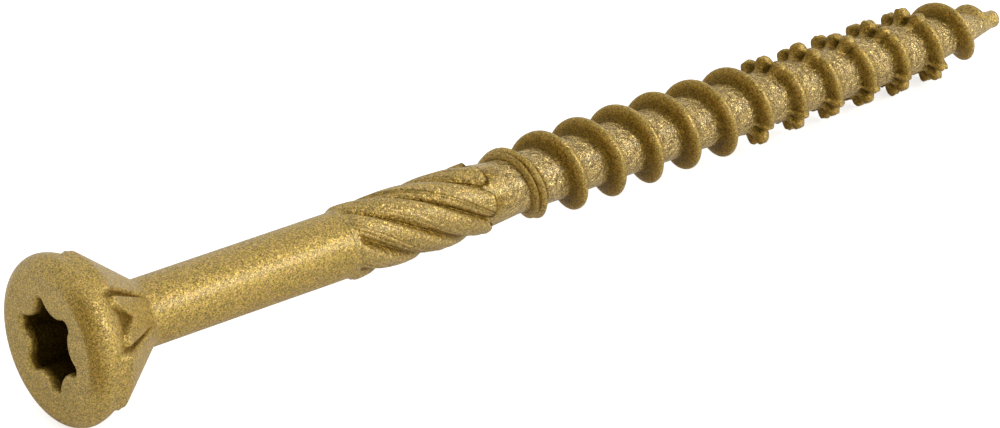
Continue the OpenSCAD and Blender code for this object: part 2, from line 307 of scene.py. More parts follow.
def tilt_of(sizes):
    """Fall of the axis: the rim and a crest near the point touch one plane."""
    crest_fall = sizes.screw_length - sizes.point_length * CREST_FALL_SHARE
    touch = crest_fall - sizes.pitch / 2
    drop = sizes.head_diameter / 2 - crest_radius(sizes, np.array(touch))
    return math.atan(float(drop) / (touch - sizes.rim_round))


def in_row_frame(sizes, depth, angle, radius):
    """A place on the screw: depth along the axis, then radius at an angle from the top."""
    tilt = tilt_of(sizes)
    up = radius * np.cos(angle)
    side = radius * np.sin(angle)
    x = depth * math.cos(tilt) + up * math.sin(tilt)
    z = up * math.cos(tilt) - depth * math.sin(tilt)
    return np.stack([x, -side, z], axis=-1)


# Forms shared by the sections of the skin

# Columns round the shank and in one turn of the thread, and round the head
COLUMNS = 144
HEAD_COLUMNS = 2 * COLUMNS

# How the crest and the core fall toward the point
CREST_FALL_SHARE = 0.84
CREST_FALL_LENGTH = 0.57
CREST_AT_POINT = 0.4
CREST_POWER = 1.5
POINT_POWER = 1.4

# Room between the neck and the first crest, and between the last crest and the blunt end
THREAD_FOOT = 0.45 * MM
CREST_MARGIN = 0.65 * MM

# Columns over which the crest rises, falls away and loses the first turn's groove
RUN_IN = 36
RUN_OUT = 44
GROOVE_END = 120
GROOVE_FADE = 40

# How the rows of the first and the last turn are drawn together, shifted and spread
FIRST_SQUEEZE = 0.3
LAST_SQUEEZE = 0.42
LAST_SHIFT = 0.18
LAST_SPREAD = 0.68
LAST_SPREAD_BACK = 0.42

# Height of the teeth's unevenness, and the seed of each kind of unevenness
BROKEN_HEIGHT = 0.05 * MM
BROKEN_SEED = 13
LINE_SEED = 11
TOOTH_SEED = 7
HEIGHT_SEED = 3
LEAN_SEED = 5


def thread_start(sizes):
    """Depth of the crest at the thread's first column."""
    return sizes.shank_end + sizes.reamer_length + sizes.neck_length + THREAD_FOOT


def core_radius(sizes, depth):
    """Core: level, then falling by a power curve to the point's radius."""
    start = sizes.screw_length - sizes.point_length
    end = sizes.screw_length - sizes.blunt_length
    x = np.clip((depth - start) / (end - start), 0.0, 1.0)
    core = sizes.core_diameter / 2
    return core - (core - sizes.point_radius) * x ** POINT_POWER


def crest_radius(sizes, depth):
    """Crest: a slight taper, then a fall that grows with the power CREST_POWER."""
    start = thread_start(sizes)
    fall_start = sizes.screw_length - sizes.point_length * CREST_FALL_SHARE
    along = np.clip((depth - start) / (fall_start - start), 0.0, 1.0)
    fall = np.maximum(depth - fall_start, 0.0) / (sizes.point_length * CREST_FALL_LENGTH)
    crest = sizes.thread_diameter / 2
    return crest - sizes.thread_taper / 2 * along - crest * CREST_AT_POINT * fall ** CREST_POWER


def star_radius(sizes, angle):
    """Six-lobe outline: arcs round the lobe centres and the flank centres, tangent in turn."""
    lobe = sizes.lobe_round
    centre = sizes.lobe_diameter / 2 - lobe
    waist = sizes.waist_diameter / 2
    lean = centre * math.cos(math.pi / 6)
    flank = (centre ** 2 - lobe ** 2 + waist ** 2 - 2 * lean * waist) / (2 * (lobe - waist + lean))
    flank_centre = waist + flank
    share = lobe / (lobe + flank)
    meet_x = centre + share * (flank_centre * math.cos(math.pi / 6) - centre)
    meet_y = share * flank_centre * math.sin(math.pi / 6)
    meet = math.atan2(meet_y, meet_x)
    sixth = math.pi / 3
    a = np.abs((angle + sixth / 2) % sixth - sixth / 2)
    b = sixth / 2 - a
    on_lobe = centre * np.cos(a) + np.sqrt(np.maximum(lobe ** 2 - (centre * np.sin(a)) ** 2, 0))
    under = np.maximum(flank ** 2 - (flank_centre * np.sin(b)) ** 2, 0)
    on_flank = flank_centre * np.cos(b) - np.sqrt(under)
    return np.where(a < meet, on_lobe, on_flank)


def ring_angles(sizes, count):
    """Angles of a ring's columns, starting at the thread's start."""
    return sizes.thread_turn + np.arange(count) * (2 * math.pi / count)


def soft_min(a, b, width):
    """Lower of two, rounded where they meet."""
    lower = np.minimum(a, b)
    return lower - width * np.log1p(np.exp(-np.abs(a - b) / width))


def soft_max(a, b, width):
    """Higher of two, rounded where they meet."""
    return -soft_min(-a, -b, width)


# Sections of the skin: each returns its depth and radius on a grid of rows and columns, its
# angle where the columns turn, and how much shade is painted there

# Recess: fillet at its foot, draft of its walls, and where painted shade in it begins and deepens
RECESS_FILLET = 0.16 * MM
RECESS_DRAFT = 0.03 * MM
RECESS_DARK_FROM = 0.05 * MM
RECESS_DARK_OVER = 0.5 * MM

# Where its rows lie on the floor, round the foot, on the wall and round the upper edge
FLOOR_SHARE = np.linspace(0.14, 0.92, 7)[:, None]
FOOT_TURN = np.linspace(0.0, 1.0, 4)[:, None] * math.pi / 2
WALL_SHARE = np.linspace(0.1, 0.97, 8)[:, None]
EDGE_TURN = np.linspace(0.08, 1.0, 8)[:, None] * math.pi / 2


def recess_rows(sizes):
    """Recess: floor cone from the axis, foot fillet, star walls and a rounded upper edge."""
    star = star_radius(sizes, ring_angles(sizes, HEAD_COLUMNS) - sizes.recess_turn)
    edge = sizes.recess_round
    floor_radius = FLOOR_SHARE * (star - RECESS_FILLET)
    floor_depth = sizes.recess_depth + sizes.recess_cone * (1 - FLOOR_SHARE) + 0 * star
    foot_radius = star - RECESS_FILLET + RECESS_FILLET * np.sin(FOOT_TURN)
    foot_depth = sizes.recess_depth - RECESS_FILLET * (1 - np.cos(FOOT_TURN)) + 0 * star
    wall_start = sizes.recess_depth - RECESS_FILLET
    wall_depth = wall_start * (1 - WALL_SHARE) + edge * WALL_SHARE + 0 * star
    wall_radius = star + RECESS_DRAFT * WALL_SHARE
    edge_depth = edge * (1 - np.sin(EDGE_TURN)) + 0 * star
    edge_radius = star + RECESS_DRAFT + edge * (1 - np.cos(EDGE_TURN))
    depth = np.vstack([floor_depth, foot_depth, wall_depth, edge_depth])
    radius = np.vstack([floor_radius, foot_radius, wall_radius, edge_radius])
    # Painted shade, deeper further into the recess
    painted_shade = smooth((depth - RECESS_DARK_FROM) / RECESS_DARK_OVER)
    return depth, radius, painted_shade


# Where the rows of the face and of the rim's rounding lie
FACE_SHARE = np.linspace(0.1, 1.0, 9)[:, None]
RIM_TURN = np.linspace(0.07, 1.0, 13)[:, None] * math.pi / 2

# Painted shade in a band on the rim, standing in for a dark reflection: along it, then across it
RIM_SHADE_MIDDLE = math.radians(66.0)
RIM_SHADE_HALF = 0.4
RIM_SHADE_FADE = 0.45
RIM_SHADE_SHARE = 0.5
RIM_SHADE_INNER_FADE = 0.25
RIM_SHADE_OUTER = 0.8
RIM_SHADE_OUTER_FADE = 0.5


def face_rows(sizes, inner):
    """Top face: from the recess's edge to the rim's rounding, round in the end."""
    outer = sizes.head_diameter / 2 - sizes.rim_round
    radius = inner + (outer - inner) * FACE_SHARE
    return 0 * radius, radius, 0 * radius


def painted_rim_shade(sizes):
    """Band of painted shade on the rim: 1 round the middle angle, 0 away from it."""
    off = (ring_angles(sizes, HEAD_COLUMNS) - RIM_SHADE_MIDDLE + math.pi) % (2 * math.pi) - math.pi
    return 1 - smooth((np.abs(off) - RIM_SHADE_HALF) / RIM_SHADE_FADE)


def rim_rows(sizes):
    """Rim: a quarter circle from the face to the head's full radius, carrying the band of painted
    shade.
    """
    depth = sizes.rim_round * (1 - np.cos(RIM_TURN))
    radius = sizes.head_diameter / 2 - sizes.rim_round * (1 - np.sin(RIM_TURN))
    ones = np.ones((1, HEAD_COLUMNS))
    # Painted shade across the rim's rounding, times the band along it
    across = smooth(RIM_TURN / RIM_SHADE_INNER_FADE)
    across = across * (1 - smooth((RIM_TURN - RIM_SHADE_OUTER) / RIM_SHADE_OUTER_FADE))
    return depth * ones, radius * ones, RIM_SHADE_SHARE * across * painted_rim_shade(sizes)


# Underside: where its rows lie on the rim's side, at the corners, on the cones and on the shank
SIDE_START = 0.06 * MM
SIDE_END = 1.4 * MM
SIDE_ROWS = 5
CORNER_DEPTH = np.linspace(1.45, 2.2, 16) * MM
CONE_DEPTH = np.linspace(2.3, 5.4, 28) * MM
SEAT_DEPTH = np.array([5.55, 5.75, 6.0]) * MM

# Widths over which two of its forms are rounded into each other
SHANK_BLEND = 0.05 * MM
POCKET_BLEND = 0.025 * MM
LAND_BLEND = 0.045 * MM
WALL_WIDTH = 0.16 * MM

# Draw-in of the rim's side, inset of the lands' corners, and reach and rise of the ribs
DRAW_LIMIT = 1.5
DRAW_POWER = 1.6
INSET_FADE = 0.15
ARM_MARGIN = 0.1 * MM
RIB_FOOT_SHARE = 0.6
RIB_RISE_FROM = 0.05 * MM
RIB_RISE_OVER = 0.5 * MM

# Painted shade at the feet of lands and ribs, which lie below the mean of the columns around
AROUND_REACH = 15
FOOT_DARK = 0.75
FOOT_DARK_OVER = 0.14 * MM
FOOT_DARK_BASE = 0.1


def underside_rows(sizes):
    """Underside: a side that falls to a floor cone in the pockets and to a full cone on the
    lands; each pocket holds a rib whose two arms spread from the shank to the rim."""
    angle = ring_angles(sizes, HEAD_COLUMNS)
    head = sizes.head_diameter / 2
    shank = sizes.shank_diameter / 2
    foot = head - sizes.rim_draw
    side_depth = np.linspace(sizes.rim_round + SIDE_START, SIDE_END, SIDE_ROWS)
    depth = np.concatenate([side_depth, CORNER_DEPTH, CONE_DEPTH, SEAT_DEPTH])[:, None]

    below = (depth - sizes.rim_round) / (sizes.rim_depth - sizes.rim_round)
    slope = (foot - shank) / sizes.cone_height
    side = head - sizes.rim_draw * np.minimum(below, DRAW_LIMIT) ** DRAW_POWER
    cone = foot - slope * (depth - sizes.rim_depth)
    floor = soft_max(cone, shank, SHANK_BLEND)
    pocket = soft_min(side, floor, POCKET_BLEND)

    corner = head - sizes.land_inset
    full = corner + (sizes.land_corner - depth) * (corner - shank) / (
        sizes.land_end - sizes.land_corner)
    land_side = corner + sizes.land_inset * np.exp(-below / INSET_FADE)
    land = soft_min(land_side, soft_max(full, shank, SHANK_BLEND), LAND_BLEND)

    spacing = 2 * math.pi / sizes.land_count
    middle = sizes.land_turn + spacing / 2
    offset = (angle - middle + spacing / 2) % spacing - spacing / 2
    x = floor * np.cos(offset)
    y = floor * np.abs(np.sin(offset))
    arm_x = foot - ARM_MARGIN
    arm_y = sizes.rib_spread / 2
    foot_x = shank * RIB_FOOT_SHARE
    foot_y = sizes.rib_foot_width / 2
    edge = foot_y + (arm_y - foot_y) * (x - foot_x) / (arm_x - foot_x)
    on_rib = smooth((edge - y) / WALL_WIDTH + 0.5)
    lean = (arm_x - sizes.rib_notch) / (arm_y - sizes.rib_arm_width)
    past_notch = (x - sizes.rib_notch - y * lean) / math.hypot(1.0, lean)
    on_rib = on_rib * (1 - smooth(past_notch / WALL_WIDTH + 0.5))
    rib = sizes.rib_height * smooth((depth - sizes.rim_depth - RIB_RISE_FROM) / RIB_RISE_OVER)
    rib_rise = (soft_max(cone + rib, shank, SHANK_BLEND) - floor) * on_rib
    into_land = (np.abs(offset) - (spacing - sizes.land_angle) / 2) * floor
    on_land = smooth(into_land / WALL_WIDTH + 0.5)
    radius = (pocket + rib_rise) * (1 - on_land) + land * on_land
    # Painted shade where a point lies below the mean of the columns around it
    reach = range(-AROUND_REACH, AROUND_REACH + 1)
    around = sum(np.roll(radius, shift, axis=1) for shift in reach) / len(reach)
    painted_shade = smooth((around - radius) / FOOT_DARK_OVER + FOOT_DARK_BASE) * smooth(below)
    return depth + 0 * radius, radius, FOOT_DARK * painted_shade


# Shank: rows, gap before the reamer, step below the head, and length that turns the columns
SHANK_ROWS = 30
SHANK_GAP = 0.1 * MM
SEAT_STEP = 0.3 * MM
TWIST_LENGTH = 10 * MM


def shank_rows(sizes, start):
    """Shank: a plain cylinder."""
    depth = np.linspace(start, sizes.shank_end - SHANK_GAP, SHANK_ROWS)[:, None]
    radius = sizes.shank_diameter / 2 * np.ones((1, COLUMNS)) + 0 * depth
    return depth + 0 * radius, radius, 0 * radius


# Reamer: where its rows lie from its start, along the ribs and round their blunt ends
REAMER_START = np.linspace(0.0, 1.0, 12) * MM
REAMER_ALONG_FROM = 1.2 * MM
REAMER_ALONG_TO = 0.75 * MM
REAMER_ALONG_ROWS = 34
REAMER_END = np.linspace(-0.65, 0.12, 18) * MM

# Section of one rib over its share of the turn, and the fine lines along it
REAMER_RIBS = 6
REAMER_PHASE = 0.59
REAMER_PLACE = np.array([0.0, 0.05, 0.11, 0.2, 0.34, 0.52, 0.7, 0.85, 0.94, 1.0])
REAMER_HEIGHT = np.array([0.0, 0.12, 0.62, 0.92, 1.0, 0.97, 0.8, 0.45, 0.14, 0.0])
LINE_HEIGHT = 0.04 * MM
LINE_LEAST = 0.25
LINE_FROM = 0.4
LINE_OVER = 0.3

# How the ribs rise from the shank and end bluntly on the neck
NECK_STEP = 0.04 * MM
RIB_BEGIN = 0.2 * MM
RIB_BEGIN_OVER = 0.45 * MM
RIB_END = 0.5 * MM
RIB_END_POWER = 1.5
RIB_END_OVER = 0.09 * MM

# Painted shade in the grooves, in the fine lines and round the blunt ends
GROOVE_DARK = 0.7
GROOVE_BELOW = 0.6
LINE_DARK = 0.6
BLUNT_DARK = 0.9
BLUNT_DARK_REACH = 1.6
BLUNT_DARK_OVER = 0.12 * MM
BLUNT_DARK_FROM = 0.4


def reamer_rows(sizes):
    """Reamer: rounded one-sided ribs with fine lines turn with the lead and end bluntly."""
    angle = ring_angles(sizes, COLUMNS)
    start = sizes.shank_end
    end = start + sizes.reamer_length
    along = np.linspace(
        start + REAMER_ALONG_FROM, end - REAMER_ALONG_TO, REAMER_ALONG_ROWS)
    depth = np.concatenate([start + REAMER_START, along, end + REAMER_END])[:, None]
    twist = (depth - end) * (2 * math.pi / sizes.reamer_lead)
    share = (np.arange(COLUMNS) / COLUMNS * REAMER_RIBS + REAMER_PHASE) % 1.0
    section = np.interp(share, REAMER_PLACE, REAMER_HEIGHT)
    rng = np.random.default_rng(LINE_SEED)
    lines = rng.uniform(-1.0, 1.0, COLUMNS)
    lines = lines - (np.roll(lines, 1) + np.roll(lines, -1)) / 2
    lines = lines * (LINE_LEAST + (1 - LINE_LEAST) * smooth((share - LINE_FROM) / LINE_OVER))
    root = sizes.reamer_root_diameter / 2
    full = root + (sizes.reamer_diameter / 2 - root) * section + LINE_HEIGHT * lines
    seat = sizes.shank_diameter / 2
    base = seat - NECK_STEP * smooth((depth - start) / sizes.reamer_length)
    begin = smooth((depth - start - RIB_BEGIN * (1 - section)) / RIB_BEGIN_OVER)
    to_end = end - RIB_END * (1 - section) ** RIB_END_POWER - depth
    close = smooth(to_end / RIB_END_OVER)
    radius = base + (full - base) * begin * close
    # Painted shade in the grooves and lines and round the ribs' blunt ends
    in_groove = GROOVE_DARK * smooth((GROOVE_BELOW - section) / GROOVE_BELOW)
    in_groove = in_groove + LINE_DARK * np.maximum(-lines, 0.0)
    at_end = BLUNT_DARK * smooth(BLUNT_DARK_REACH - np.abs(to_end) / BLUNT_DARK_OVER)
    at_end = at_end * smooth(section / BLUNT_DARK_FROM)
    painted_shade = np.clip(in_groove * begin * close + at_end, 0.0, 1.0)
    return depth + 0 * radius, angle + twist, radius, painted_shade


# Rows of one turn of the thread, as places along the axis in pitches from its crest
ROW_PLACE = np.array([
    -0.5, -0.42, -0.34, -0.27, -0.225, -0.195, -0.17, -0.15, -0.132, -0.115, -0.098, -0.08,
    -0.06, -0.035, 0.0, 0.03, 0.05, 0.07, 0.09, 0.115, 0.14, 0.165, 0.195, 0.23, 0.28, 0.38])
ROWS = len(ROW_PLACE)

# Section of a turn: a steep flank toward the head, a narrow land and a gentler far flank
TURN_PLACE = np.array([
    -0.24, -0.195, -0.165, -0.14, -0.115, -0.092, -0.07, -0.04, -0.01, 0.025, 0.05, 0.085, 0.12,
    0.16, 0.2, 0.25, 0.3])
TURN_HEIGHT = np.array([
    0.0, 0.03, 0.11, 0.31, 0.6, 0.81, 0.915, 0.98, 1.0, 0.985, 0.92, 0.74, 0.46, 0.2, 0.07,
    0.015, 0.0])

# Section of the first turn: a low ridge, a rolled groove and the crest
FIRST_PLACE = np.array([
    -0.24, -0.21, -0.19, -0.165, -0.14, -0.115, -0.09, -0.065, -0.04, -0.01, 0.02, 0.05, 0.09,
    0.13, 0.18, 0.23, 0.28])
FIRST_HEIGHT = np.array([
    0.0, 0.1, 0.45, 0.74, 0.8, 0.62, 0.34, 0.22, 0.34, 0.78, 0.98, 1.0, 0.86, 0.5, 0.18, 0.04,
    0.0])

# How much shade is painted over the same section, and where the surface is hammered
HOLLOW_PLACE = np.array([
    -0.36, -0.28, -0.23, -0.18, -0.13, -0.09, -0.07, -0.045, -0.02, 0.05, 0.12, 0.2, 0.28, 0.36])
HOLLOW_SHARE = np.array([
    0.0, 0.12, 0.5, 0.88, 0.76, 0.52, 0.4, 0.24, 0.0, 0.0, 0.4, 0.6, 0.25, 0.0])
HAMMERED_PLACE = np.array([-0.3, -0.22, -0.15, 0.12, 0.22, 0.3])
HAMMERED_SHARE = np.array([1.0, 0.6, 0.3, 0.3, 0.6, 1.0])

# How hammered the other parts of the skin are
HAMMERED_HEAD = 0.2
HAMMERED_SHANK = 0.12
HAMMERED_REAMER = 0.5


def column_total(sizes):
    """Number of steps along the helix, so that the last crest stays above the blunt end."""
    blunt = sizes.screw_length - sizes.blunt_length
    rise = sizes.pitch / COLUMNS
    return int((blunt - CREST_MARGIN - thread_start(sizes)) / rise)


# Teeth: half a tooth's width, and the ranges over which single teeth differ
TOOTH_HALF = 0.4
TOOTH_HALF_RANGE = (0.85, 1.08)
TOOTH_HIGH_RANGE = (0.72, 1.12)
TOOTH_LEAN_RANGE = (-0.04, 0.04)
TOOTH_MIDDLE_RANGE = (-0.09, 0.09)
TOOTH_ROUND = 2.2
TOOTH_FLAT = 0.6
TOOTH_WIDTH = 0.075
NOTCH_WIDTH = 0.02
TOOTH_SHIFT = 0.03


def tooth_field(sizes, column):
    """Along the helix: where the crest is serrated, and each tooth's height, width and lean."""
    turn = column / COLUMNS
    serrated = (turn >= sizes.serrated_from) & (turn <= sizes.serrated_from + sizes.serrated_turns)
    angle = sizes.thread_turn + turn * 2 * math.pi
    place = (angle - sizes.plain_from) % (2 * math.pi)
    plain = place <= sizes.plain_arc
    count = turn * sizes.teeth_per_turn
    number = np.floor(count).astype(int)
    teeth = number.max() + 1
    rng = np.random.default_rng(TOOTH_SEED)
    high = rng.uniform(*TOOTH_HIGH_RANGE, teeth)
    lean = rng.uniform(*TOOTH_LEAN_RANGE, teeth)
    middle = 0.5 + rng.uniform(*TOOTH_MIDDLE_RANGE, teeth)
    half = TOOTH_HALF * rng.uniform(*TOOTH_HALF_RANGE, teeth)
    from_middle = np.abs(count - number - middle[number]) / half[number]
    bead = np.maximum(1 - from_middle ** TOOTH_ROUND, 0.0) ** TOOTH_FLAT
    height = 1 - sizes.notch_share + sizes.notch_share * bead * high[number]
    toothed = serrated & ~plain
    share = np.where(toothed, height, np.where(serrated, 1 - sizes.plain_drop, 1.0))
    width = np.where(toothed, TOOTH_WIDTH * bead - NOTCH_WIDTH, 0.0)
    shift = np.where(toothed, (lean[number] - TOOTH_SHIFT) * bead, 0.0)
    return share, width, shift, toothed


def broken_relief(total, seed):
    """Seeded unevenness on the grid of columns and rows, smoothed once over its neighbours."""
    rng = np.random.default_rng(seed)
    rough = rng.uniform(-1.0, 1.0, (total + 1, ROWS + 1))
    along = (np.roll(rough, 1, axis=0) + rough + np.roll(rough, -1, axis=0)) / 2
    return (along + np.roll(along, 1, axis=1) + np.roll(along, -1, axis=1)) / 2


# Range over which the waves of an unevenness differ in speed
WAVE_RANGE = (0.6, 1.4)


def wander(count, waves, seed):
    """Sum of seeded sine waves along a row of columns, between about -1 and 1."""
    rng = np.random.default_rng(seed)
    along = np.arange(count)[:, None] / COLUMNS * 2 * math.pi
    speed = rng.uniform(*WAVE_RANGE, waves) * np.arange(1, waves + 1)
    phase = rng.uniform(0, 2 * math.pi, waves)
    return (np.sin(along * speed + phase) / np.arange(1, waves + 1) ** 0.5).sum(axis=1) / 2


# Thread: unevenness of its height and lean, and how high the first turn starts
HEIGHT_WAVES = 6
HEIGHT_WAVE = 0.02
LEAN_WAVES = 9
LEAN_WAVE = 0.006
EARLY_HEIGHT = 0.94

# Where the last turn's far flank closes, and how the neck runs into the core
CLOSE_FROM = 0.22
CLOSE_OVER = 0.26
NECK_END = 0.2 * MM
NECK_OVER = 0.6 * MM

# Painted shade in the notches, beside the teeth and in the first turn's groove, and how much of it
# the last turn loses
NOTCH_DARK = 1.6
NOTCH_DARK_FROM = 0.3
NOTCH_DARK_MOST = 0.9
TOOTH_LIGHTER = 3.0
FIRST_DARK = 1.6
FIRST_DARK_BELOW = 0.6
FIRST_DARK_HALF = 0.26
FIRST_DARK_SHARE = 0.8
LAST_LIGHTER = 0.8


def thread_grid(sizes):
    """Thread: rows follow the helix; a rounded crest on filleted flanks over the core."""
    total = column_total(sizes)
    column = np.arange(total + 1)
    share, width, shift, toothed = tooth_field(sizes, column)
    first = 1 - smooth((column - GROOVE_END) / GROOVE_FADE)
    at_end = np.clip((column - total + COLUMNS) / COLUMNS, 0.0, 1.0)
    height = smooth(column / RUN_IN) * smooth((total - column) / RUN_OUT)
    height = height * (1 - (1 - sizes.first_turn_share) * first) * share
    height = height * (1 + HEIGHT_WAVE * wander(total + 1, HEIGHT_WAVES, HEIGHT_SEED))
    height = height * (EARLY_HEIGHT + (1 - EARLY_HEIGHT) * smooth(column / COLUMNS - 1.0))

    low_squeeze = FIRST_SQUEEZE + (1 - FIRST_SQUEEZE) * np.clip(column / COLUMNS, 0.0, 1.0)
    high_squeeze = 1 - (1 - LAST_SQUEEZE) * at_end
    place = np.append(ROW_PLACE, 0.5)[None, :]
    squeeze = np.where(place < 0, low_squeeze[:, None], high_squeeze[:, None])
    crest = thread_start(sizes) + column * (sizes.pitch / COLUMNS)
    depth = crest[:, None] + place * squeeze * sizes.pitch

    lean = shift + LEAN_WAVE * wander(total + 1, LEAN_WAVES, LEAN_SEED) + LAST_SHIFT * at_end
    off = place - lean[:, None]
    spread = np.where(off > 0, LAST_SPREAD, LAST_SPREAD_BACK)
    off = off * (1 - spread * at_end[:, None])
    away = np.sign(off) * np.maximum(np.abs(off) - width[:, None], 0.0)
    turn_section = np.interp(away, TURN_PLACE, TURN_HEIGHT)
    first_section = np.interp(off, FIRST_PLACE, FIRST_HEIGHT)
    section = turn_section + (first_section - turn_section) * first[:, None]
    section = section * (1 - at_end[:, None] * smooth((place - CLOSE_FROM) / CLOSE_OVER))

    low = core_radius(sizes, depth)
    high = np.maximum(crest_radius(sizes, crest)[:, None], low)
    neck = (sizes.shank_diameter / 2 - NECK_STEP - low) * smooth(
        (thread_start(sizes) + NECK_END - depth) / NECK_OVER)
    rise = (high - low) * section * height[:, None]
    broken = BROKEN_HEIGHT * broken_relief(total, BROKEN_SEED) * section * toothed[:, None]
    radius = low + np.maximum(neck, rise) + broken
    angle = sizes.thread_turn + column * (2 * math.pi / COLUMNS)

    # Painted shade: at the flanks' feet, in the notches and in the first turn's groove
    in_notch = np.clip((1 - share) * NOTCH_DARK - NOTCH_DARK_FROM, 0.0, NOTCH_DARK_MOST)
    painted_shade = np.interp(off, HOLLOW_PLACE, HOLLOW_SHARE) * (1 - TOOTH_LIGHTER * width[:, None])
    painted_shade = painted_shade + in_notch[:, None] * section
    first_hollow = FIRST_DARK * np.maximum(FIRST_DARK_BELOW - first_section, 0.0)
    first_hollow = first_hollow * (np.abs(off) < FIRST_DARK_HALF)
    painted_shade = painted_shade + (first_hollow - painted_shade) * first[:, None] * FIRST_DARK_SHARE
    shaded = smooth(column / RUN_IN) * (1 - LAST_LIGHTER * at_end)
    painted_shade = np.clip(painted_shade * shaded[:, None], 0.0, 1.0)
    hammered = np.interp(off, HAMMERED_PLACE, HAMMERED_SHARE)
    return depth, angle[:, None] + 0 * depth, radius, painted_shade, hammered


# Blunt end: its rings as shares of its length, and their radius as a share
BLUNT_SHARE = np.array([0.0, 0.2, 0.4, 0.6, 0.75, 0.87, 0.95, 0.99])[:, None]
BLUNT_SWELL = np.array([1.0, 0.98, 1.0, 0.98, 0.88, 0.68, 0.42, 0.18])[:, None]


def blunt_rows(sizes, first_angle):
    """Blunt end: rings that swell a little and round off to the point."""
    angle = first_angle + np.arange(COLUMNS) * (2 * math.pi / COLUMNS)
    depth = sizes.screw_length - sizes.blunt_length * (1 - BLUNT_SHARE)
    radius = sizes.point_radius * BLUNT_SWELL
    return depth + 0 * angle, angle + 0 * depth, radius + 0 * angle


# Faces between rows of points

def ring_quads(first, rows, columns):
    """Quads over closed rings stored one after another from the index first."""
    i = np.arange(rows - 1)[:, None]
    k = np.arange(columns)[None, :]
    k2 = (k + 1) % columns
    corner = [i * columns + k, i * columns + k2, (i + 1) * columns + k2, (i + 1) * columns + k]
    return first + np.stack(corner, axis=-1).reshape(-1, 4)


def mesh_object(name, points, quads, triangles, paint):
    """A mesh object from whole arrays of points, quads, triangles and named point values."""
    mesh = bpy.data.meshes.new(name)
    mesh.vertices.add(len(points))
    mesh.vertices.foreach_set("co", points.astype(np.float32).ravel())
    loops = np.concatenate([quads.ravel(), triangles.ravel()])
    mesh.loops.add(len(loops))
    mesh.loops.foreach_set("vertex_index", loops.astype(np.int32))
    starts = np.concatenate([
        np.arange(len(quads)) * 4,
        len(quads) * 4 + np.arange(len(triangles)) * 3])
    mesh.polygons.add(len(starts))
    mesh.polygons.foreach_set("loop_start", starts.astype(np.int32))
    for layer, values in paint.items():
        attribute = mesh.attributes.new(layer, "FLOAT", "POINT")
        attribute.data.foreach_set("value", values.astype(np.float32))
    mesh.update(calc_edges=True)
    mesh.validate()
    mesh.shade_smooth()
    piece = bpy.data.objects.new(name, mesh)
    bpy.context.scene.collection.objects.link(piece)
    return piece


